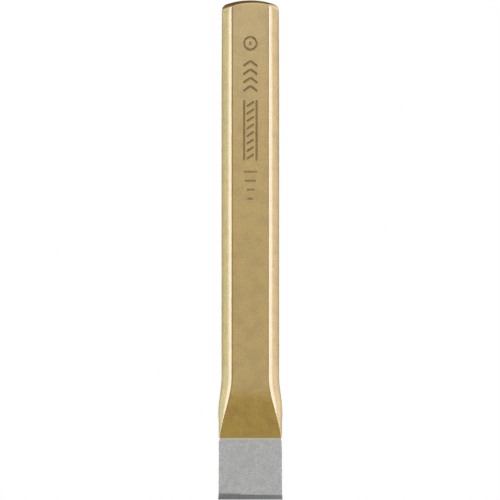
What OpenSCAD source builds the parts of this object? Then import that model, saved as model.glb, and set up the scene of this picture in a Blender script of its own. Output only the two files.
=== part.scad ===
// Cold chisel, 150 mm long, with a flat-oval shank.
//
// The tool is one steel forging: a crowned striking head, a flat-oval shank, a neck that is
// drawn out thin and wide, and a blade that is ground bare down to two cutting bevels. A
// coat of gold lacquer covers the forging from the crown to the top of the ground blade,
// and lines the row of marks that is stamped into the front face.
//
// The tool lies on its plain back face, as it would on a bench. The origin is on the bench
// under the middle of the tool, +Y runs up the tool to the striking head, +X runs across the
// blade, and the stamped front face looks up, towards +Z. Sizes are in millimetres.
//
// The shapes are drawn with the tool pointing straight down instead: there z is the height
// above the cutting edge, and the stamped front face looks towards -Y. The two part modules
// at the end lay them on their back.

/* [Overall] */
// Length from the cutting edge to the top of the crown
overall_length = 150; // [140:1:200]
// Width of the shank over its rounded narrow sides, with lacquer
shank_width = 17.3; // [16.6:0.1:18]
// Thickness of the shank over its flat broad faces, with lacquer
shank_thickness = 11; // [10:0.1:12]
// Width of each flat broad face
face_width = 10.8; // [10:0.1:11.6]

/* [Head] */
// Radius of the crowned striking face
crown_radius = 22.5; // [20:0.5:40]
// Radius of the rim between the crown and the narrow sides
rim_radius = 2.2; // [1:0.1:3]

/* [Neck] */
// Distance from the cutting edge to the top of the neck
neck_top = 37; // [34:0.5:45]
// Distance from the cutting edge to where the neck's hollow curve turns into a straight wedge
wedge_top = 28.4; // [26:0.2:31]
// Distance from the cutting edge to the widest part of the neck
bulge_height = 26; // [24:0.5:29]
// Width of the neck at its widest part, with lacquer
bulge_width = 19.25; // [18.6:0.05:20]
// Distance from the cutting edge to where the neck stops narrowing again
waist_height = 22.5; // [21:0.5:23.5]
// Width of the neck at the lacquer's lower edge, with lacquer
waist_width = 19; // [18.4:0.05:19.6]

/* [Blade] */
// Length of the blade that is ground bare
ground_length = 18.6; // [15:0.2:20]
// Width of the ground blade just below the lacquer
blade_width = 19.24; // [18.6:0.02:20]
// Width at the cutting edge
edge_width = 19.4; // [18.6:0.1:20]
// Thickness at the top of the ground blade
blade_root_thickness = 4.6; // [4:0.1:5.4]
// Thickness where the two cutting bevels start
bevel_thickness = 1.9; // [1.4:0.1:2.6]
// Angle between the two cutting bevels, in degrees
bevel_angle = 60; // [50:1:75]
// Width of the narrow land left along the cutting edge
edge_land = 0.16; // [0.1:0.02:0.3]

/* [Lacquer] */
// Thickness of the lacquer coat
coat = 0.1; // [0.08:0.01:0.14]

/* [Stamped marks] */
// Width of a stamped stroke
stroke = 0.44; // [0.36:0.02:0.6]
// Depth of the stamping
stamp_depth = 0.28; // [0.2:0.02:0.4]
// Size of the marks across the shank
mark_size = 4.2; // [3.6:0.1:4.6]
// Distance from the top of the crown to the row of marks
marks_below_crown = 10.9; // [8:0.1:16]

/* [Hidden] */

steel_colour = [0.66, 0.66, 0.67];
lacquer_colour = [0.75, 0.61, 0.36];

side_facets = 12;        // facets round each rounded narrow side
neck_sections = 22;      // sections down the neck
crown_steps = 5;         // points along the crown's curve, and along the rim's
round_fn = 64;           // facets of the round cutters and of the crown
flat_side = 0.02;        // bulge of the ground blade's narrow sides, which are all but flat
blade_step = 1.6;        // length over which the blade widens below the lacquer
face_end_slope = -0.15;  // how fast the broad face is still widening at the lacquer's edge
rim_relief = 0.05;       // how far the rim's curve runs outside the narrow sides
overshoot = 1;           // how far a cutting solid runs past what it cuts

bevel_height = (bevel_thickness - edge_land) / 2 / tan(bevel_angle / 2);
front_y = -shank_thickness / 2;

// ---- Profiles of the bare forging, by height z above the cutting edge ----

function unit(t) = max(0, min(1, t));
function smooth(t) = let (u = unit(t)) u * u * (3 - 2 * u);
function mix(a, b, t) = a + (b - a) * t;

// Straight line from (z0, v0) up to z1, then a parabola that levels out at (z2, v2).
function line_then_level(z, z0, v0, z1, z2, v2) =
    let (slope = (v2 - v0) / (z1 - z0 + (z2 - z1) / 2))
    z <= z1 ? v0 + slope * (z - z0)
  : z >= z2 ? v2
  : v2 - slope * pow(z2 - z, 2) / (2 * (z2 - z1));

// Cubic that is level at (z2, v2) and reaches (z0, v0) with the given slope.
function level_to_slope(z, z0, v0, slope, z2, v2) =
    let (u = unit((z2 - z) / (z2 - z0)))
    v2 + (v0 - v2) * smooth(u) - slope * (z2 - z0) * (pow(u, 3) - pow(u, 2));

function blade_half_width(z) =
    let (root = waist_width / 2 - coat, step_z = ground_length - blade_step)
    z > step_z ? mix(blade_width / 2, root, (z - step_z) / blade_step)
               : mix(edge_width / 2, blade_width / 2, z / step_z);

function neck_half_width(z) =
    shank_width / 2 - coat
    + (bulge_width - shank_width) / 2 * smooth((neck_top - z) / (neck_top - bulge_height))
    - (bulge_width - waist_width) / 2 * smooth((bulge_height - z) / (bulge_height - waist_height));

function half_width(z) = z < ground_length ? blade_half_width(z) : neck_half_width(z);

function half_thickness(z) =
    z < bevel_height ? mix(edge_land, bevel_thickness, z / bevel_height) / 2
  : z < ground_length ? mix(bevel_thickness, blade_root_thickness,
                            (z - bevel_height) / (ground_length - bevel_height)) / 2
  : line_then_level(z, ground_length, blade_root_thickness / 2,
                    wedge_top, neck_top, shank_thickness / 2 - coat);

// Half width of the flat broad face. What is left of the half width is the side's bulge.
function half_face(z) =
    z < ground_length ? half_width(z) - flat_side
  : level_to_slope(z, ground_length, half_width(ground_length) - flat_side, face_end_slope,
                   neck_top, face_width / 2);

// ---- Cross-sections: a flat face front and back, and a circular arc down each side ----

// Points of the arc on the +X side at height z, from front to back, on the bare forging
// grown outwards by skin. The arc keeps its centre as it grows, so the skin is even.
function side_arc(z, skin) =
    let (w = half_width(z), t = half_thickness(z), bulge = w - half_face(z),
         bare_radius = (t * t + bulge * bulge) / (2 * bulge),
         radius = bare_radius + skin,
         half_angle = asin((t + skin) / radius))
    [for (i = [0 : side_facets])
        let (a = half_angle * (2 * i / side_facets - 1))
        [w - bare_radius + radius * cos(a), radius * sin(a), z]];

function section(z, skin) =
    let (arc = side_arc(z, skin))
    [for (p = arc) p,
     for (i = [side_facets : -1 : 0]) [-arc[i][0], arc[i][1], arc[i][2]]];

// Solid through the cross-sections at the given heights, in rising order.
module loft(heights, skin = 0) {
    n = 2 * (side_facets + 1);
    last = len(heights) - 1;
    polyhedron(
        points = [for (z = heights) each section(z, skin)],
        faces = [
            [for (i = [0 : n - 1]) i],
            for (k = [0 : last - 1], i = [0 : n - 1])
                let (a = k * n + i, b = k * n + (i + 1) % n)
                [a, a + n, b + n, b],
            [for (i = [n - 1 : -1 : 0]) last * n + i]
        ]);
}

blade_heights = [0, bevel_height, ground_length - blade_step];
coated_heights = [
    for (i = [0 : neck_sections]) mix(ground_length, neck_top, i / neck_sections),
    overall_length + overshoot
];

// ---- Crown ----

// Outline of the crown and its rim, from the axis outwards, set in by inset.
function crown_outline(inset) =
    let (crown = crown_radius - inset,
         rim = rim_radius - inset,
         rim_x = shank_width / 2 + rim_relief - rim_radius,
         meet = asin(rim_x / (crown_radius - rim_radius)),
         rim_z = (crown_radius - rim_radius) * cos(meet) - crown_radius)
    [for (i = [0 : crown_steps])
        let (a = meet * i / crown_steps)
        [crown * sin(a), crown * cos(a) - crown_radius],
     for (i = [1 : crown_steps])
        let (a = mix(meet, 90, i / crown_steps))
        [rim_x + rim * sin(a), rim_z + rim * cos(a)]];

// Bell that the tool stands inside. It touches only the crown and its rim.
module crown_bell(inset) {
    translate([0, 0, overall_length])
        rotate_extrude($fn = round_fn)
            polygon([
                each crown_outline(inset),
                [edge_width, -overall_length - overshoot],
                [0, -overall_length - overshoot]
            ]);
}

// ---- Stamped marks: plain geometric shapes, read from the blade towards the head ----

// The marks are cut as bars and rings that are grown by grow in width, length and depth.

// Bar across the front face: x and z are its middle, turn is its angle from +X.
module bar(x, z, length, turn, grow) {
    translate([x, front_y, z])
        rotate([0, -turn, 0])
            cube([length + 2 * grow, 2 * (stamp_depth + grow), stroke + 2 * grow], center = true);
}

// Upright round cutter in the front face.
module disc(z, radius, depth) {
    translate([0, front_y, z])
        rotate([90, 0, 0])
            cylinder(r = radius, h = 2 * depth, center = true, $fn = round_fn);
}

module ring_and_dot(z, grow) {
    depth = stamp_depth + grow;
    difference() {
        disc(z, mark_size / 2 + grow, depth);
        disc(z, mark_size / 2 - stroke - grow, depth + overshoot);
    }
    disc(z, stroke + grow, depth);
}

// Arrowhead that points up the tool.
module chevron(z, grow) {
    lean = 36;
    arm = mark_size / 2 / cos(lean);
    for (side = [-1, 1])
        bar(side * mark_size / 4, z - arm / 2 * sin(lean), arm, -side * lean, grow);
}

// Two rails along the tool, with slanted rungs between them.
module ladder(z_low, z_high, rungs, grow) {
    length = z_high - z_low;
    pitch = length / rungs;
    rail_x = (mark_size - stroke) / 2;
    for (side = [-1, 1])
        bar(side * rail_x, (z_low + z_high) / 2, length, 90, grow);
    for (i = [0 : rungs - 1])
        bar(0, z_low + pitch * (i + 0.5), mark_size * 0.62, 34, grow);
}

// Bars across the tool that grow shorter towards the blade.
module graded_bars(z_high, count, pitch, grow) {
    for (i = [0 : count - 1])
        bar(0, z_high - pitch * i, mark_size * (1 - i / (count + 1)), 0, grow);
}

module marks(grow) {
    top = overall_length - marks_below_crown;
    ring_and_dot(top - mark_size / 2, grow);
    for (i = [0 : 3])
        chevron(top - 7.4 - 2.5 * i, grow);
    ladder(top - 37.2, top - 19.2, 8, grow);
    graded_bars(top - 40.6, 4, 2.7, grow);
}

// ---- The pieces, pointing straight down ----

module bare_forging() {
    difference() {
        intersection() {
            loft(concat(blade_heights, coated_heights));
            crown_bell(coat);
        }
        marks(coat);
    }
}

module coat_shell() {
    difference() {
        intersection() {
            loft(coated_heights, coat);
            crown_bell(0);
        }
        marks(0);
        bare_forging();
    }
}

// ---- The pieces, laid on the plain back face ----

module lay_on_back() {
    translate([0, -overall_length / 2, shank_thickness / 2])
        rotate([-90, 0, 0])
            children();
}

module steel_forging() {
    color(steel_colour)
        lay_on_back()
            bare_forging();
}

module lacquer_coat() {
    color(lacquer_colour)
        lay_on_back()
            coat_shell();
}

steel_forging();
lacquer_coat();
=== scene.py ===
"""Looks of the cold chisel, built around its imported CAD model.

Both CAD solids are replaced by finer meshes of the same shape: the steel forging, and the
gold lacquer coat that covers it down to the ground blade. As in the CAD source, shapes are
worked out in millimetres with the tool pointing straight down: z is the height above the
cutting edge, and the stamped front face looks towards -y. Meshes are laid on the tool's
back face, in metres, when they are made.
"""

import math

import bmesh
import bpy
import numpy as np
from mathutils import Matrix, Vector


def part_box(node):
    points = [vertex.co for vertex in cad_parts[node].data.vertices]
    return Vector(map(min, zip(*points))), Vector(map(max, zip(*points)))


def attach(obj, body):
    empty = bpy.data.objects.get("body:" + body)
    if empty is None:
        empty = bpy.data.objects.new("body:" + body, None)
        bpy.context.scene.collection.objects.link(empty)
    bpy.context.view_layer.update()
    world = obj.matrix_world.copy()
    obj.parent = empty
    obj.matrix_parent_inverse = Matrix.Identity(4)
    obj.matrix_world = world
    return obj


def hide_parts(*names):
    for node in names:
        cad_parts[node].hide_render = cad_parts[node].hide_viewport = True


MM = 0.001

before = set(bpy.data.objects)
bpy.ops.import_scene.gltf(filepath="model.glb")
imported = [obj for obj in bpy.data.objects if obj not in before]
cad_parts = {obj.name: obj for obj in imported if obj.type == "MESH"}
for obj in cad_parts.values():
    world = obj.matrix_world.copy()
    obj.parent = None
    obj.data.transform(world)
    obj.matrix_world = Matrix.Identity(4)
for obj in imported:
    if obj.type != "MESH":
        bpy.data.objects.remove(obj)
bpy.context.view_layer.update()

# ---- Sizes that the CAD boxes give ----

forging_low, forging_high = (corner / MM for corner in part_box("steel_forging"))
coat_low, coat_high = (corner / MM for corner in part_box("lacquer_coat"))
LENGTH = coat_high.y - forging_low.y
GROUND_LENGTH = coat_low.y - forging_low.y
COAT = coat_high.y - forging_high.y
SHANK_THICKNESS = coat_high.z - coat_low.z
BULGE_WIDTH = coat_high.x - coat_low.x
EDGE_WIDTH = forging_high.x - forging_low.x

# ---- Sizes that the boxes don't show, as the CAD source has them ----

SHANK_WIDTH = 17.3
FACE_WIDTH = 10.8
CROWN_RADIUS = 22.5
NECK_TOP = 37.0
WEDGE_TOP = 28.4
BULGE_HEIGHT = 26.0
WAIST_HEIGHT = 22.5
WAIST_WIDTH = 19.0
BLADE_WIDTH = 19.24
ROOT_THICKNESS = 4.6
BEVEL_THICKNESS = 1.9
BEVEL_ANGLE = math.radians(60)
EDGE_LAND = 0.16
FLAT_SIDE = 0.02
BLADE_STEP = 1.6
FACE_END_SLOPE = -0.15
STROKE = 0.44
STAMP_DEPTH = 0.28
MARK_SIZE = 4.2
MARKS_BELOW_CROWN = 10.9
CHEVRONS = 4
CHEVRON_TOP = 7.4        # this and the other tops and lows are distances below the marks' top
CHEVRON_PITCH = 2.5
CHEVRON_LEAN = math.radians(36)
LADDER_TOP = 19.2
LADDER_LOW = 37.2
RUNGS = 8
RUNG_LENGTH = 0.62       # as a share of MARK_SIZE
RUNG_LEAN = math.radians(34)
BARS = 4
BAR_TOP = 40.6
BAR_PITCH = 2.7
BEVEL_HEIGHT = (BEVEL_THICKNESS - EDGE_LAND) / 2 / math.tan(BEVEL_ANGLE / 2)

# ---- Finer shapes that only the looks have ----

SIDE_RIM = 2.2           # rounding of the crown's rim on the narrow sides
FACE_RIM = 0.9           # rounding of the crown's rim on the broad faces
WORN_RIM = 0.5           # extra rounding of the rim's worn corner
WORN_X = -6.2            # where the worn corner is
WORN_SPREAD = 2.2        # how far the wear reaches to each side of that
LEFT_CREASE = 1.3        # rounding between the broad face and the narrow side at -x
RIGHT_CREASE = 0.8       # the same at +x
LOW_CREASE = 0.35        # the same at the lacquer's lower edge
BLADE_CORNER = 0.2       # rounding along the ground blade's corners
CORNER_SHARE = 0.4       # the most of the blade's half thickness that this rounding takes
HEAD_BASE = 143.0        # height at which the rings turn into the head's straight sides
HEAD_TAPER = 0.07        # how much the half width shrinks towards the head
TAPER_LENGTH = 25        # the stretch over which it shrinks, which ends at HEAD_BASE
BEVEL_LEFT = 1.75        # height of the ground bevels at -x
BEVEL_RIGHT = 1.3        # the same at +x
LIP = 0.06               # rounding of the lacquer's lower edge
INNER_SKIN = 0.004       # gap between the steel and the inside of the lacquer
WALL_SOFTNESS = 0.09     # half the run of a stamped stroke's sloping wall
BURR = 0.014             # height of the swell beside a stamped stroke
BURR_OFFSET = 1.8        # how far out the swell is, as a multiple of WALL_SOFTNESS

# ---- Finishes, with painted shade and a painted highlight ----

PIGMENT_DARK = (0.306, 0.188, 0.023)
PIGMENT_LIGHT = (0.446, 0.280, 0.046)
PIGMENT_DEEP = (0.252, 0.148, 0.022)
# painted shade along the creases between the broad faces and the narrow sides
PAINTED_CREASE_SHADE = (0.18, 0.13, 0.03)
# painted highlight on the crown's rim
PAINTED_RIM_HIGHLIGHT = (0.64, 0.46, 0.14)
# painted shade on the floors of the stamped strokes
PAINTED_STROKE_SHADE = (0.09, 0.055, 0.014)
# painted shade on the crown
PAINTED_CROWN_SHADE = (0.095, 0.052, 0.026)
STEEL_DARK = (0.51, 0.51, 0.53)
STEEL_LIGHT = (0.69, 0.69, 0.72)
STEEL_CLOUD = (0.47, 0.47, 0.49)
STEEL_SIDES = (0.34, 0.34, 0.35)
LACQUER_TRACE = (0.78, 0.66, 0.48)
GRINDING_DARK = (0.20, 0.20, 0.21)
GRINDING_LIGHT = (0.60, 0.60, 0.60)

# Noises: the scale of each, where larger is finer, and the values between which it takes effect
FLAKE_SCALE = 2000
FLAKE_RANGE = (0.25, 0.75)
CLOUD_SCALE = 300
CLOUD_RANGE = (0.4, 0.7)
PEEL_SCALE = 900
WAVE_SCALE = 90
STEEL_GRAIN_SCALE = 1900
STEEL_GRAIN_RANGE = (0.3, 0.7)
STEEL_CLOUD_SCALE = 500
STEEL_CLOUD_RANGE = (0.4, 0.65)
GRINDING_SCALE = 3600
GRINDING_STRETCH = 0.04  # scale along the grinding lines, as a share of that across them

# Heights of the bumps
FLAKE_HEIGHT = 0.01
PEEL_HEIGHT = 0.02
WAVE_HEIGHT = 0.002
STEEL_GRAIN_HEIGHT = 0.02

# How much each tone covers what is under it, from 0 to 1
CLOUD_COVER = 0.5
# painted shade in the creases
CREASE_SHADE_COVER = 0.55
# painted highlight on the crown's rim
RIM_HIGHLIGHT_COVER = 0.6
# painted shade on the crown
CROWN_SHADE_COVER = 0.9
STEEL_CLOUD_COVER = 0.4
SIDES_COVER = 0.8
GRINDING_COVER = 0.7
TRACE_COVER = 0.65

# Where some tones are, by a part of the surface's normal: sideways, or towards the head. The crease
# tone is painted shade, the rim tone a painted highlight and the crown tone painted shade
CREASE_SHADE_TURN = (0.2, 0.35, 0.12)  # from, to, and the fade outside those
RIM_HIGHLIGHT_TURN = (0.2, 0.4, 0.12)
SIDES_TURN = (0.6, 0.9)          # none, and full
CROWN_SHADE_TURN = 0.56       # the least turn towards the head where the crown has painted shade and no clear coat, at x = 0
CROWN_SHADE_TURN_MOST = 0.72  # the same at most
CROWN_SHADE_LEAN = 60.0       # how fast it grows towards +x, per metre
CROWN_SHADE_FADE = 0.25       # how much further the surface turns until the tone is full

# Where the other tones are
STROKE_SHADE_START = 0.06       # depth in a stroke at which the painted shade starts
STROKE_SHADE_FULL = 0.24        # depth at which it is full
STROKE_SHADE_AT_MIDDLE = 0.22   # cover of the painted shade at the middle of the tool's length
STROKE_SHADE_RISE = 6.0         # how fast that grows towards the head, per metre
STROKE_SHADE_FADE = 0.5         # how softly the painted shade ends round the stamped window
UPPER_LOW = 8.0          # heights above the bench between which the upper side begins
UPPER_HIGH = 9.0
HEAD_START = 6.0         # distances below the crown's top between which the head begins
HEAD_FULL = 3.5
BEVEL_FADE = 0.1         # how far past the bevels' taller end the grinding lines reach
TRACE_START = 0.7        # distances below the lacquer between which its trace begins
TRACE_FULL = 0.35

# ---- Lighting ----

# Glow of the tent by angle from straight up, in degrees, towards -x and towards +x
TENT_ACROSS = [
    (-180, (0.36, 0.40, 0.32)),
    (-90, (0.18, 0.21, 0.18)),
    (-84, (0.58, 0.62, 0.58)),
    (-77, (1.00, 1.02, 1.06)),
    (-60, (1.14, 1.16, 1.20)),
    (-50, (0.04, 0.04, 0.04)),
    (-30, (0.10, 0.10, 0.10)),
    (-14, (0.13, 0.13, 0.13)),
    (-7, (0.24, 0.24, 0.21)),
    (7, (0.24, 0.24, 0.21)),
    (14, (0.13, 0.13, 0.13)),
    (50, (0.09, 0.09, 0.09)),
    (58, (1.12, 1.12, 1.16)),
    (76, (1.05, 1.04, 1.10)),
    (84, (0.68, 0.64, 0.64)),
    (90, (0.20, 0.19, 0.19)),
    (180, (0.44, 0.39, 0.35)),
]
# How that is scaled towards the cutting edge (minus) and towards the head: overhead, and low down
ALONG_OVERHEAD = [
    (-90, 0.24),
    (-20, 0.24),
    (-11, 1.0),
    (10, 1.0),
    (17, 0.6),
    (26, 0.6),
    (38, 2.0),
    (58, 2.0),
    (66, 0.5),
    (90, 0.4),
]
ALONG_SIDES = [(-90, 0.3), (-38, 0.3), (-29, 1.3), (-12, 1.3), (-4, 1.0), (14, 1.0), (24, 0.3)]
# Where the overhead scaling holds, by the same angle as the tent's glow
OVERHEAD = [(-57.6, 0), (-39.6, 1), (39.6, 1), (57.6, 0)]
TENT_STRENGTH = 4.4
# Glow of the bench from its -x side to its +x side, and how it swells beside the neck; each
# stop is the distance from the tool's middle, in mm
BENCH_GLOWS = [(-30, (0.76, 0.96, 0.88)), (30, (1.00, 1.03, 1.08))]
BENCH_SWELL = [(-68, 1.0), (-60, 1.45), (-42, 1.45), (-32, 1.0)]
BENCH_SPAN = 0.2         # length that those stops are spread over, in metres
# How bright the bench looks to the camera, white with a painted shadow where the tool hides the
# sky, and how brightly it lights the tool, by how much sky it sees
BENCH_PAINTED_SHADOW = [(0.0, 0.25), (0.3, 0.75), (0.5, 1.0)]
BENCH_BRIGHTNESS = [(0.5, 0.0), (0.74, 0.2), (1.0, 1.3)]
BENCH_CARD = (0.15, 0.15, 0.15, 1)   # the card's own colour
BENCH_SIZE = 3.0         # in metres
BENCH_GAP = 0.02         # gap between the bench and the tool
SKY_REACH = 0.02         # distance within which the tool hides the sky, in metres
# The lamp over the head: places and size in metres, power in watts
LAMP_PLACE = (-0.03, 0.11, 0.35)
LAMP_AIM = (0, 0.07, 0.011)
LAMP_SIZE = 0.12
LAMP_POWER = 0.036

# ---- Camera ----

CAMERA_DISTANCE = 4.0    # in metres
CAMERA_X = -0.105        # how far it stands towards +x

# ---- Mesh density ----

WINDOW_X = 2.5           # half width of the stamped window, which has a grid of its own
WINDOW_LOW = 88.4
WINDOW_HIGH = 140.8
WINDOW_MARGIN = 0.2      # gap between the window's frame and its fine grid
WINDOW_COLUMNS = 6
FACE_COLUMNS = 7
CREASE_COLUMNS = 6
SIDE_COLUMNS = 26
BACK_COLUMNS = 8
WALL_ROWS = 5
RIM_ROWS = 9
DOME_ROWS = 10
LIP_ROWS = 4
CROWDING = 1.5           # how much the broad face's columns crowd towards the creases
NECK_END = NECK_TOP + 6  # the neck's close rings go on a little up the shank
NECK_STEP = 0.3          # this and the other steps are the distance between rings
SHANK_STEP = 0.9
WINDOW_STEP = 1.0
HEAD_STEP = 0.8
BEVEL_STEP = 0.35
GROUND_STEP = 0.5
WIDENING_STEP = 0.16
STEEL_PITCH = 0.16       # pitch of the window's fine grid on the steel
INSIDE_PITCH = 0.2       # the same inside the lacquer
OUTSIDE_PITCH = 0.1      # the same outside the lacquer
TOLERANCE = 0.01         # slack when heights are compared
STEEL_SHARP = math.radians(24)    # edges that bend by more than this stay sharp
LACQUER_SHARP = math.radians(40)


# ---- Profiles of the bare forging, the same as in the CAD source ----


def mix(a, b, t):
    return a + (b - a) * t


def unit(t):
    return max(0.0, min(1.0, t))


def smooth(t):
    u = unit(t)
    return u * u * (3 - 2 * u)


def line_then_level(z, z0, v0, z1, z2, v2):
    """A straight line from (z0, v0) up to z1, then a parabola that levels out at (z2, v2)."""
    slope = (v2 - v0) / (z1 - z0 + (z2 - z1) / 2)
    if z <= z1:
        return v0 + slope * (z - z0)
    if z >= z2:
        return v2
    return v2 - slope * (z2 - z) ** 2 / (2 * (z2 - z1))


def level_to_slope(z, z0, v0, slope, z2, v2):
    """A cubic that is level at (z2, v2) and reaches (z0, v0) with the given slope."""
    u = unit((z2 - z) / (z2 - z0))
    return v2 + (v0 - v2) * smooth(u) - slope * (z2 - z0) * (u**3 - u**2)


def half_width(z):
    if z < GROUND_LENGTH:
        step_z = GROUND_LENGTH - BLADE_STEP
        if z > step_z:
            return mix(BLADE_WIDTH / 2, WAIST_WIDTH / 2 - COAT, smooth((z - step_z) / BLADE_STEP))
        return mix(EDGE_WIDTH / 2, BLADE_WIDTH / 2, z / step_z)
    flare = smooth((NECK_TOP - z) / (NECK_TOP - BULGE_HEIGHT))
    waist = smooth((BULGE_HEIGHT - z) / (BULGE_HEIGHT - WAIST_HEIGHT))
    return (
        SHANK_WIDTH / 2
        - COAT
        + (BULGE_WIDTH - SHANK_WIDTH) / 2 * flare
        - (BULGE_WIDTH - WAIST_WIDTH) / 2 * waist
        - HEAD_TAPER * smooth((z - HEAD_BASE) / TAPER_LENGTH + 1)
    )


def half_thickness(z):
    if z < BEVEL_HEIGHT:
        return mix(EDGE_LAND, BEVEL_THICKNESS, z / BEVEL_HEIGHT) / 2
    if z < GROUND_LENGTH:
        rise = (z - BEVEL_HEIGHT) / (GROUND_LENGTH - BEVEL_HEIGHT)
        return mix(BEVEL_THICKNESS, ROOT_THICKNESS, rise) / 2
    top = SHANK_THICKNESS / 2 - COAT
    return line_then_level(z, GROUND_LENGTH, ROOT_THICKNESS / 2, WEDGE_TOP, NECK_TOP, top)


def half_face(z):
    """Half width of the flat broad face. What is left of the half width is the side's bulge."""
    if z < GROUND_LENGTH:
        return half_width(z) - FLAT_SIDE
    low = half_width(GROUND_LENGTH) - FLAT_SIDE
    return level_to_slope(z, GROUND_LENGTH, low, FACE_END_SLOPE, NECK_TOP, FACE_WIDTH / 2)


def crease_radius(z, side, t):
    """Rounding between a broad face and the narrow side at +x (side 1) or -x (side -1)."""
    if z < GROUND_LENGTH:
        return min(BLADE_CORNER, CORNER_SHARE * t)
    full = RIGHT_CREASE if side > 0 else LEFT_CREASE
    return mix(LOW_CREASE, full, smooth((z - GROUND_LENGTH) / (NECK_TOP - GROUND_LENGTH)))


# ---- Cross-sections ----


def half_outline(z, side, skin):
    """One side's points of the cross-section, from the window round to the back's middle."""
    w, t = half_width(z), half_thickness(z)
    bulge = w - half_face(z)
    bare_radius = (t * t + bulge * bulge) / (2 * bulge)
    centre_x = w - bare_radius
    radius, t = bare_radius + skin, t + skin
    crease = crease_radius(z, side, t)
    fillet_x = centre_x + math.sqrt((radius - crease) ** 2 - (t - crease) ** 2)
    start = math.atan2(crease - t, fillet_x - centre_x)
    half_side = SIDE_COLUMNS // 2
    quarter = []
    for i in range(CREASE_COLUMNS):
        a = mix(-math.pi / 2, start, i / CREASE_COLUMNS)
        quarter.append((fillet_x + crease * math.cos(a), crease - t + crease * math.sin(a)))
    for i in range(half_side):
        a = mix(start, 0, i / half_side)
        quarter.append((centre_x + radius * math.cos(a), radius * math.sin(a)))
    points = [
        (mix(WINDOW_X, fillet_x, 1 - (1 - i / FACE_COLUMNS) ** CROWDING), -t)
        for i in range(FACE_COLUMNS)
    ]
    points += quarter
    points.append((centre_x + radius, 0))
    points += [(x, -y) for x, y in reversed(quarter)]
    points += [(mix(fillet_x, 0, i / BACK_COLUMNS), t) for i in range(1, BACK_COLUMNS + 1)]
    return [(side * x, y) for x, y in points]


def section(z, skin):
    """The whole cross-section at height z, as a closed ring from the window's left edge."""
    right = half_outline(z, 1, skin)
    left = half_outline(z, -1, skin)
    front_y = right[0][1]
    window = [
        (mix(-WINDOW_X, WINDOW_X, i / WINDOW_COLUMNS), front_y) for i in range(1, WINDOW_COLUMNS)
    ]
    return [left[0], *window, *right, *reversed(left[1:-1])]


def level_ring(z, skin):
    return [(x, y, z) for x, y in section(z, skin)]


def blade_ring(z):
    """A level ring of the blade, bent so that the bevels are taller at -x than at +x."""
    rise = unit(z / BEVEL_HEIGHT) * unit((GROUND_LENGTH - z) / (GROUND_LENGTH - BEVEL_HEIGHT))
    ring = []
    for x, y in section(z, 0):
        bevel = mix(BEVEL_LEFT, BEVEL_RIGHT, x / EDGE_WIDTH + 0.5)
        ring.append((x, y, z + (bevel - BEVEL_HEIGHT) * rise))
    return ring


def spread(low, high, step):
    """Even heights from low up to, but not including, high."""
    count = max(1, round((high - low) / step))
    return [mix(low, high, i / count) for i in range(count)]


def body_heights():
    """Heights of the rings from the ground blade up to the head."""
    return [
        *spread(GROUND_LENGTH, NECK_END, NECK_STEP),
        *spread(NECK_END, WINDOW_LOW, SHANK_STEP),
        *spread(WINDOW_LOW, WINDOW_HIGH, WINDOW_STEP),
        *spread(WINDOW_HIGH, HEAD_BASE, HEAD_STEP),
    ]


# ---- Crown ----


def rim_radius(x):
    """Rounding of the crown's rim: large on the narrow sides, small on the broad faces."""
    side = smooth((abs(x) - FACE_WIDTH / 2) / ((SHANK_WIDTH - FACE_WIDTH) / 2))
    worn = WORN_RIM * math.exp(-(((x - WORN_X) / WORN_SPREAD) ** 2))
    return mix(FACE_RIM + worn, SIDE_RIM, side)


def crown_rings(skin):
    """Rings up the head's straight sides, round the rim and over the dome, and the top."""
    dome = CROWN_RADIUS - COAT + skin
    dome_z = LENGTH - CROWN_RADIUS
    columns = []
    for x, y in section(LENGTH, skin):
        reach = math.hypot(x, y)
        rim = rim_radius(x)
        rim_z = dome_z + math.sqrt((dome - rim) ** 2 - (reach - rim) ** 2)
        meet = math.asin((reach - rim) / (dome - rim))
        profile = [(reach, mix(HEAD_BASE, rim_z, i / WALL_ROWS)) for i in range(WALL_ROWS)]
        for i in range(RIM_ROWS):
            a = mix(math.pi / 2, meet, i / RIM_ROWS)
            profile.append((reach - rim + rim * math.sin(a), rim_z + rim * math.cos(a)))
        for i in range(DOME_ROWS):
            a = mix(meet, 0, i / DOME_ROWS)
            profile.append((dome * math.sin(a), dome_z + dome * math.cos(a)))
        columns.append([(x / reach * r, y / reach * r, z) for r, z in profile])
    return [list(ring) for ring in zip(*columns)], (0, 0, dome_z + dome)


# ---- Stamped marks ----


def segment_distance(x, z, ax, az, bx, bz):
    """Distance to a stroke's middle line, with round ends inside the CAD's square ones."""
    length = math.hypot(bx - ax, bz - az)
    ux, uz = (bx - ax) / length, (bz - az) / length
    along = np.clip((x - ax) * ux + (z - az) * uz, STROKE / 2, length - STROKE / 2)
    return np.hypot(x - ax - along * ux, z - az - along * uz)


def mark_segments():
    """The straight strokes of the chevrons, the ladder and the graded bars."""
    top = LENGTH - MARKS_BELOW_CROWN
    half = MARK_SIZE / 2
    segments = []
    drop = half * math.tan(CHEVRON_LEAN)
    for i in range(CHEVRONS):
        z = top - CHEVRON_TOP - CHEVRON_PITCH * i
        segments += [(0, z, side * half, z - drop) for side in (-1, 1)]
    low, high = top - LADDER_LOW, top - LADDER_TOP
    rail = half - STROKE / 2
    segments += [(side * rail, low, side * rail, high) for side in (-1, 1)]
    reach = half * RUNG_LENGTH
    dx, dz = reach * math.cos(RUNG_LEAN), reach * math.sin(RUNG_LEAN)
    for i in range(RUNGS):
        z = mix(low, high, (i + 0.5) / RUNGS)
        segments.append((-dx, z - dz, dx, z + dz))
    for i in range(BARS):
        reach = half * (1 - i / (BARS + 1))
        z = top - BAR_TOP - BAR_PITCH * i
        segments.append((-reach, z, reach, z))
    return segments


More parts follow.
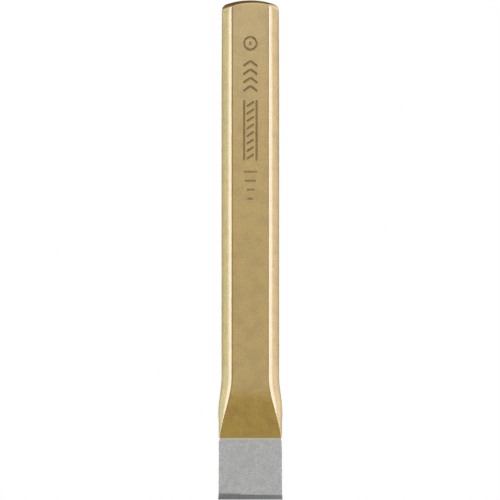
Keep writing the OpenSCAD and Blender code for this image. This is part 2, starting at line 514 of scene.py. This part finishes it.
def stamped_depth(x, z, skin):
    """How deep the stamping is at (x, z), with a faint swell beside each stroke."""
    ring_z = LENGTH - MARKS_BELOW_CROWN - MARK_SIZE / 2
    from_middle = np.hypot(x, z - ring_z)
    nearest = np.abs(from_middle - (MARK_SIZE - STROKE) / 2)
    nearest = np.minimum(nearest, np.maximum(from_middle - STROKE / 2, 0))
    for segment in mark_segments():
        nearest = np.minimum(nearest, segment_distance(x, z, *segment))
    outside = nearest - STROKE / 2 - (COAT - skin)
    wall = np.clip((WALL_SOFTNESS - outside) / (2 * WALL_SOFTNESS), 0, 1)
    from_swell = outside - BURR_OFFSET * WALL_SOFTNESS
    swell = BURR * np.exp(-((from_swell / WALL_SOFTNESS) ** 2))
    return STAMP_DEPTH * wall * wall * (3 - 2 * wall) - swell


# ---- Meshes ----


def along_tool(z):
    """A height above the cutting edge as the scene's y, in metres."""
    return (z - LENGTH / 2) * MM


def place(point):
    """Lays a point on the tool's back face, and turns millimetres into metres."""
    x, y, z = point
    return x * MM, along_tool(z), (SHANK_THICKNESS / 2 - y) * MM


def add_ring(bm, points):
    return [bm.verts.new(place(p)) for p in points]


def join_rings(bm, low, high):
    """Faces between two rings, outward if high is the upper one."""
    count = len(low)
    return [
        bm.faces.new((low[i], low[(i + 1) % count], high[(i + 1) % count], high[i]))
        for i in range(count)
    ]


def add_window_grid(bm, hole, skin, pitch):
    """Swaps the window's faces for a fine grid that carries the stamped marks."""
    hole_faces = set(hole)
    frame_edges = {
        e for f in hole for e in f.edges if any(g not in hole_faces for g in e.link_faces)
    }
    bmesh.ops.delete(bm, geom=hole, context="FACES")
    inner_x = WINDOW_X - WINDOW_MARGIN
    low, high = WINDOW_LOW + WINDOW_MARGIN, WINDOW_HIGH - WINDOW_MARGIN
    xs = np.linspace(-inner_x, inner_x, round(2 * inner_x / pitch) + 1)
    zs = np.linspace(low, high, round((high - low) / pitch) + 1)
    front_y = -(SHANK_THICKNESS / 2 - COAT + skin)
    depth = stamped_depth(xs[None, :], zs[:, None], skin)
    depth[[0, -1], :] = 0
    depth[:, [0, -1]] = 0
    rows = [
        add_ring(bm, [(x, front_y + depth[j, i], z) for i, x in enumerate(xs)])
        for j, z in enumerate(zs)
    ]
    for below, above in zip(rows, rows[1:]):
        for i in range(len(below) - 1):
            bm.faces.new((below[i], below[i + 1], above[i + 1], above[i]))
    grid_rim = [*rows[0], *rows[-1], *(row[0] for row in rows), *(row[-1] for row in rows)]
    rim_edges = {e for v in grid_rim for e in v.link_edges if len(e.link_faces) == 1}
    bmesh.ops.triangle_fill(
        bm, use_beauty=True, use_dissolve=False, edges=list(frame_edges | rim_edges)
    )


def add_body(bm, first_ring, heights, skin, pitch):
    """The skin from a first ring up through the given heights and over the crown."""
    crown, top = crown_rings(skin)
    rings = [add_ring(bm, level_ring(z, skin)) for z in heights]
    rings += [add_ring(bm, ring) for ring in crown]
    hole = []
    for k, (low, high) in enumerate(zip(rings, rings[1:])):
        faces = join_rings(bm, low, high)
        if k < len(heights) and WINDOW_LOW < heights[k] + TOLERANCE < WINDOW_HIGH:
            hole += faces[:WINDOW_COLUMNS]
    if first_ring:
        join_rings(bm, first_ring, rings[0])
    apex = bm.verts.new(place(top))
    last = rings[-1]
    for i, vert in enumerate(last):
        bm.faces.new((vert, last[(i + 1) % len(last)], apex))
    add_window_grid(bm, hole, skin, pitch)
    return rings[0]


def finish_mesh(bm, name, sharp_angle):
    """Turns the bmesh into an object, smooth except where it bends by more than sharp_angle."""
    bm.normal_update()
    for face in bm.faces:
        face.smooth = True
    for edge in bm.edges:
        edge.smooth = edge.calc_face_angle(0) < sharp_angle
    mesh = bpy.data.meshes.new(name)
    bm.to_mesh(mesh)
    bm.free()
    piece = bpy.data.objects.new(name, mesh)
    bpy.context.collection.objects.link(piece)
    return piece


def make_forging():
    """The steel: the ground blade, and on it the body that the lacquer covers."""
    bm = bmesh.new()
    step_z = GROUND_LENGTH - BLADE_STEP
    heights = [
        *spread(0, BEVEL_HEIGHT, BEVEL_STEP),
        *spread(BEVEL_HEIGHT, step_z, GROUND_STEP),
        *spread(step_z, GROUND_LENGTH, WIDENING_STEP),
    ]
    rings = [add_ring(bm, blade_ring(z)) for z in heights]
    for low, high in zip(rings, rings[1:]):
        join_rings(bm, low, high)
    bm.faces.new(list(reversed(rings[0])))
    add_body(bm, rings[-1], body_heights(), 0, STEEL_PITCH)
    return finish_mesh(bm, "forging", STEEL_SHARP)


def make_lacquer():
    """The coat: its inner skin, the rounded lip at its lower edge, and its outer skin."""
    bm = bmesh.new()
    lip = add_body(bm, None, body_heights(), INNER_SKIN, INSIDE_PITCH)
    bmesh.ops.reverse_faces(bm, faces=bm.faces[:])
    for i in range(1, LIP_ROWS):
        a = math.pi / 2 * i / LIP_ROWS
        skin = mix(INNER_SKIN, COAT, math.sin(a))
        rise = LIP * (1 - math.cos(a))
        ring = add_ring(bm, [(x, y, z + rise) for x, y, z in level_ring(GROUND_LENGTH, skin)])
        join_rings(bm, lip, ring)
        lip = ring
    add_body(bm, lip, [GROUND_LENGTH + LIP, *body_heights()[1:]], COAT, OUTSIDE_PITCH)
    return finish_mesh(bm, "lacquer", LACQUER_SHARP)


# ---- Materials ----


class Nodes:
    """A short way to add and link the nodes of one shader tree."""

    def __init__(self, tree):
        self.tree = tree
        tree.nodes.clear()

    def add(self, kind, settings=None, **inputs):
        node = self.tree.nodes.new("ShaderNode" + kind)
        for key, value in (settings or {}).items():
            setattr(node, key, value)
        for key, value in inputs.items():
            self.feed(node.inputs[key.replace("_", " ")], value)
        return node

    def feed(self, socket, value):
        if isinstance(value, bpy.types.NodeSocket):
            self.tree.links.new(value, socket)
        else:
            socket.default_value = value

    def math(self, operation, a, b=0.0, c=0.0):
        node = self.add("Math", {"operation": operation})
        for socket, value in zip(node.inputs, (a, b, c)):
            self.feed(socket, value)
        return node.outputs[0]

    def ramp(self, value, stops, interpolation="LINEAR"):
        """A colour ramp through (position, grey or colour) stops."""
        node = self.add("ValToRGB")
        node.color_ramp.interpolation = interpolation
        elements = node.color_ramp.elements
        while len(elements) < len(stops):
            elements.new(0.5)
        for element, (position, colour) in zip(elements, stops):
            element.position = position
            if isinstance(colour, (int, float)):
                colour = (colour, colour, colour)
            element.color = (*colour, 1)
        self.feed(node.inputs["Fac"], value)
        return node.outputs["Color"]

    def blend(self, factor, a, b):
        node = self.add("Mix", {"data_type": "RGBA"})
        self.feed(node.inputs[0], factor)
        self.feed(node.inputs[6], a if isinstance(a, bpy.types.NodeSocket) else (*a, 1))
        self.feed(node.inputs[7], b if isinstance(b, bpy.types.NodeSocket) else (*b, 1))
        return node.outputs[2]

    def tint(self, colour, mask, cover, tone):
        """Lays tone over colour where the mask is 1. A cover of 1 hides the colour."""
        return self.blend(self.math("MULTIPLY", mask, cover), colour, tone)

    def noise(self, vector, scale, detail, roughness):
        node = self.add("TexNoise", Vector=vector, Scale=scale, Detail=detail, Roughness=roughness)
        return node.outputs[0]

    def step(self, value, low, high):
        """Rises smoothly from 0 where value is low to 1 where it is high."""
        node = self.add("MapRange", {"interpolation_type": "SMOOTHSTEP"}, Value=value)
        self.feed(node.inputs["From Min"], low)
        self.feed(node.inputs["From Max"], high)
        return node.outputs[0]

    def band(self, value, low, high, soft):
        """1 where value lies between low and high, with edges soft wide."""
        rising = self.step(value, low - soft, low)
        falling = self.step(value, high + soft, high)
        return self.math("MULTIPLY", rising, falling)


def new_material(name):
    material = bpy.data.materials.new(name)
    material.use_nodes = True
    nodes = Nodes(material.node_tree)
    output = nodes.add("OutputMaterial")
    return material, nodes, output


def stroke_shade_mask(nodes, place_xyz):
    """1 on the floors of the stamped strokes, which are darkened there as painted shade."""
    x, y, z = (place_xyz.outputs[axis] for axis in "XYZ")
    sunk = nodes.step(z, (SHANK_THICKNESS - STROKE_SHADE_START) * MM, (SHANK_THICKNESS - STROKE_SHADE_FULL) * MM)
    among_marks = nodes.band(y, along_tool(WINDOW_LOW), along_tool(WINDOW_HIGH), STROKE_SHADE_FADE * MM)
    near_middle = nodes.band(x, -WINDOW_X * MM, WINDOW_X * MM, STROKE_SHADE_FADE * MM)
    upper_side = nodes.step(z, UPPER_LOW * MM, UPPER_HIGH * MM)
    return nodes.math("MULTIPLY", nodes.math("MULTIPLY", sunk, among_marks),
                      nodes.math("MULTIPLY", near_middle, upper_side))


def crown_shade_mask(nodes, place_xyz, facing_head, head):
    """1 on the crown, where its colour is darkened as painted shade and its clear coat is left off.
    """
    turned_from = nodes.math("MULTIPLY_ADD", place_xyz.outputs["X"], CROWN_SHADE_LEAN, CROWN_SHADE_TURN)
    turned_from = nodes.math("MINIMUM", turned_from, CROWN_SHADE_TURN_MOST)
    turned_to = nodes.math("ADD", turned_from, CROWN_SHADE_FADE)
    return nodes.math("MULTIPLY", nodes.step(facing_head, turned_from, turned_to), head)


def gold_lacquer():
    """Gold metallic pigment, which scatters widely, under a clear glossy top, with painted shade in
    the creases, the stamped strokes and on the crown, and a painted highlight on the crown's rim.
    """
    material, nodes, output = new_material("gold lacquer")
    coords = nodes.add("TexCoord")
    where = coords.outputs["Object"]
    place_xyz = nodes.add("SeparateXYZ", Vector=where)
    facing = nodes.add("SeparateXYZ", Vector=coords.outputs["Normal"])
    facing_head = facing.outputs["Y"]

    flakes = nodes.noise(where, FLAKE_SCALE, detail=3, roughness=0.7)
    clouds = nodes.noise(where, CLOUD_SCALE, detail=4, roughness=0.6)
    colour = nodes.blend(nodes.step(flakes, *FLAKE_RANGE), PIGMENT_DARK, PIGMENT_LIGHT)
    colour = nodes.tint(colour, nodes.step(clouds, *CLOUD_RANGE), CLOUD_COVER, PIGMENT_DEEP)
    # painted shade: darker where the surface turns sideways into the creases
    crease = nodes.band(nodes.math("ABSOLUTE", facing.outputs["X"]), *CREASE_SHADE_TURN)
    colour = nodes.tint(colour, crease, CREASE_SHADE_COVER, PAINTED_CREASE_SHADE)
    # painted shade: the floors of the stamped strokes darkened, more towards the head
    stroke_shade_cover = nodes.math("MULTIPLY_ADD", place_xyz.outputs["Y"], STROKE_SHADE_RISE, STROKE_SHADE_AT_MIDDLE)
    colour = nodes.tint(colour, stroke_shade_mask(nodes, place_xyz), stroke_shade_cover, PAINTED_STROKE_SHADE)
    head = nodes.step(place_xyz.outputs["Y"], along_tool(LENGTH - HEAD_START),
                      along_tool(LENGTH - HEAD_FULL))
    # painted highlight: lighter where the crown's rounded rim turns towards the head
    rim = nodes.math("MULTIPLY", nodes.band(facing_head, *RIM_HIGHLIGHT_TURN), head)
    colour = nodes.tint(colour, rim, RIM_HIGHLIGHT_COVER, PAINTED_RIM_HIGHLIGHT)
    # painted shade: the crown darkened, with its clear coat left off
    crown_shade = crown_shade_mask(nodes, place_xyz, facing_head, head)
    colour = nodes.tint(colour, crown_shade, CROWN_SHADE_COVER, PAINTED_CROWN_SHADE)
    gloss = nodes.math("SUBTRACT", 1.0, crown_shade)

    waves = nodes.add("Bump", Strength=1.0, Distance=WAVE_HEIGHT * MM,
                      Height=nodes.noise(where, WAVE_SCALE, detail=1, roughness=0.4))
    peel = nodes.add("Bump", Strength=0.12, Distance=PEEL_HEIGHT * MM,
                     Height=nodes.noise(where, PEEL_SCALE, detail=2, roughness=0.5),
                     Normal=waves.outputs[0])
    grain = nodes.add("Bump", Strength=0.25, Distance=FLAKE_HEIGHT * MM, Height=flakes,
                      Normal=peel.outputs[0])
    shader = nodes.add(
        "BsdfPrincipled",
        Base_Color=colour,
        Metallic=nodes.math("MULTIPLY", gloss, 0.15),
        Roughness=0.36,
        Specular_IOR_Level=0.0,
        Specular_Tint=(0.6, 0.5, 0.3, 1),
        Coat_Weight=gloss,
        Coat_Roughness=0.24,
        Coat_IOR=2.12,
        Normal=grain.outputs[0],
        Coat_Normal=peel.outputs[0],
    )
    nodes.feed(output.inputs["Surface"], shader.outputs[0])
    return material


def bare_steel():
    """Ground steel: fine mottle on the flats, and grinding lines up the bevels."""
    material, nodes, output = new_material("bare steel")
    coords = nodes.add("TexCoord")
    where = coords.outputs["Object"]
    height = nodes.add("SeparateXYZ", Vector=where).outputs["Y"]
    facing = nodes.add("SeparateXYZ", Vector=coords.outputs["Normal"])

    fine = nodes.noise(where, STEEL_GRAIN_SCALE, detail=3, roughness=0.7)
    clouds = nodes.noise(where, STEEL_CLOUD_SCALE, detail=3, roughness=0.6)
    colour = nodes.blend(nodes.step(fine, *STEEL_GRAIN_RANGE), STEEL_DARK, STEEL_LIGHT)
    cloudy = nodes.step(clouds, *STEEL_CLOUD_RANGE)
    colour = nodes.tint(colour, cloudy, STEEL_CLOUD_COVER, STEEL_CLOUD)
    narrow_side = nodes.step(nodes.math("ABSOLUTE", facing.outputs["X"]), *SIDES_TURN)
    colour = nodes.tint(colour, narrow_side, SIDES_COVER, STEEL_SIDES)

    stretched = nodes.add("Mapping", Vector=where)
    stretched.inputs["Scale"].default_value = (1, GRINDING_STRETCH, GRINDING_STRETCH)
    lines = nodes.noise(stretched.outputs[0], GRINDING_SCALE, detail=3, roughness=0.6)
    bevel = nodes.step(height, along_tool(BEVEL_LEFT + BEVEL_FADE), along_tool(BEVEL_RIGHT))
    ground = nodes.blend(lines, GRINDING_DARK, GRINDING_LIGHT)
    colour = nodes.tint(colour, bevel, GRINDING_COVER, ground)
    trace = nodes.step(height, along_tool(GROUND_LENGTH - TRACE_START),
                       along_tool(GROUND_LENGTH - TRACE_FULL))
    colour = nodes.tint(colour, trace, TRACE_COVER, LACQUER_TRACE)

    grain = nodes.add("Bump", Strength=0.5, Distance=STEEL_GRAIN_HEIGHT * MM, Height=fine)
    shader = nodes.add(
        "BsdfPrincipled",
        Base_Color=colour,
        Metallic=1.0,
        Roughness=0.4,
        Normal=grain.outputs[0],
    )
    nodes.feed(output.inputs["Surface"], shader.outputs[0])
    return material


# ---- Surroundings ----


def by_angle(stops):
    """Moves stops given in degrees onto a ramp on which straight up is half way."""
    return [(0.5 + degrees / 360, value) for degrees, value in stops]


def by_lean(stops):
    """Moves stops given in degrees towards the head onto a ramp of the direction's y."""
    return [(0.5 + 0.5 * math.sin(math.radians(degrees)), value) for degrees, value in stops]


def split_by_ray(nodes, output, lit, seen):
    """Shows the camera the shader seen, and lights the tool with the shader lit."""
    both = nodes.add("MixShader")
    nodes.feed(both.inputs[0], nodes.add("LightPath").outputs["Is Camera Ray"])
    nodes.feed(both.inputs[1], lit.outputs[0])
    nodes.feed(both.inputs[2], seen.outputs[0])
    nodes.feed(output.inputs["Surface"], both.outputs[0])


def light_tent():
    """A white tent: a soft panel overhead, bright strips low on both sides, and darker gaps."""
    world = bpy.data.worlds.new("light tent")
    bpy.context.scene.world = world
    world.use_nodes = True
    nodes = Nodes(world.node_tree)
    direction = nodes.add("SeparateXYZ", Vector=nodes.add("TexCoord").outputs["Generated"])
    across = nodes.math("ARCTAN2", direction.outputs["X"], direction.outputs["Z"])
    across = nodes.math("MULTIPLY_ADD", across, 0.5 / math.pi, 0.5)
    sides = nodes.ramp(across, by_angle(TENT_ACROSS))
    along = nodes.math("MULTIPLY_ADD", direction.outputs["Y"], 0.5, 0.5)
    overhead = nodes.ramp(along, by_lean(ALONG_OVERHEAD))
    low_down = nodes.ramp(along, by_lean(ALONG_SIDES))
    is_overhead = nodes.ramp(across, by_angle(OVERHEAD))
    tent = nodes.add("Mix", {"data_type": "RGBA", "blend_type": "MULTIPLY"})
    nodes.feed(tent.inputs[0], 1.0)
    nodes.feed(tent.inputs[6], sides)
    nodes.feed(tent.inputs[7], nodes.blend(is_overhead, low_down, overhead))
    seen = nodes.add("Background", Color=(1, 1, 1, 1), Strength=1.0)
    lit = nodes.add("Background", Color=tent.outputs[2], Strength=TENT_STRENGTH)
    split_by_ray(nodes, nodes.add("OutputWorld"), lit, seen)


def white_bench():
    """White card under the tool, which glows pure white to the camera except for a painted shadow
    right under the tool, and which also glows to light the tool.
    """
    bpy.ops.mesh.primitive_plane_add(size=BENCH_SIZE, location=(0, 0, -BENCH_GAP * MM))
    bench = bpy.context.object
    bench.name = "bench"
    material, nodes, output = new_material("white card")
    open_sky = nodes.add("AmbientOcclusion", {"samples": 16}, Distance=SKY_REACH)
    # painted shadow: the white that the camera sees darkens where the tool hides the sky
    white_with_shadow = nodes.ramp(open_sky.outputs["AO"], BENCH_PAINTED_SHADOW, "EASE")
    seen = nodes.add("Emission", Color=white_with_shadow, Strength=1.0)
    card = nodes.add("BsdfDiffuse", Color=BENCH_CARD)
    brightness = nodes.ramp(open_sky.outputs["AO"], BENCH_BRIGHTNESS)
    place_xyz = nodes.add("SeparateXYZ", Vector=nodes.add("TexCoord").outputs["Object"])
    side, swell = (
        nodes.ramp(nodes.math("MULTIPLY_ADD", place_xyz.outputs[axis], 1 / BENCH_SPAN, 0.5),
                   [(0.5 + distance * MM / BENCH_SPAN, glow) for distance, glow in glows])
        for axis, glows in (("X", BENCH_GLOWS), ("Y", BENCH_SWELL))
    )
    glow = nodes.add("Emission", Color=side, Strength=nodes.math("MULTIPLY", brightness, swell))
    lit = nodes.add("AddShader")
    nodes.feed(lit.inputs[0], card.outputs[0])
    nodes.feed(lit.inputs[1], glow.outputs[0])
    split_by_ray(nodes, output, lit, seen)
    bench.data.materials.append(material)


def add_head_lamp():
    """A soft square lamp that points at the head."""
    data = bpy.data.lights.new("head lamp", "AREA")
    data.shape = "SQUARE"
    data.size = LAMP_SIZE
    data.energy = LAMP_POWER
    lamp = bpy.data.objects.new("head lamp", data)
    lamp.location = LAMP_PLACE
    beam = Vector(LAMP_AIM) - Vector(LAMP_PLACE)
    lamp.rotation_euler = beam.to_track_quat("-Z", "Y").to_euler()
    bpy.context.collection.objects.link(lamp)


def add_camera():
    """A long lens straight above the tool, so that it shows almost without perspective."""
    data = bpy.data.cameras.new("camera")
    data.sensor_width = 36
    data.lens = data.sensor_width * CAMERA_DISTANCE / (LENGTH * MM)
    data.clip_start = 0.1
    data.clip_end = 20
    camera = bpy.data.objects.new("camera", data)
    camera.location = (CAMERA_X * MM, 0, SHANK_THICKNESS * MM + CAMERA_DISTANCE)
    bpy.context.collection.objects.link(camera)
    bpy.context.scene.camera = camera


# ---- The scene ----

forging = make_forging()
forging.data.materials.append(bare_steel())
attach(forging, "root")
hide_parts("steel_forging")

lacquer = make_lacquer()
lacquer.data.materials.append(gold_lacquer())
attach(lacquer, "root")
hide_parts("lacquer_coat")

light_tent()
white_bench()
add_head_lamp()
add_camera()
bpy.context.scene.view_settings.view_transform = "Standard"
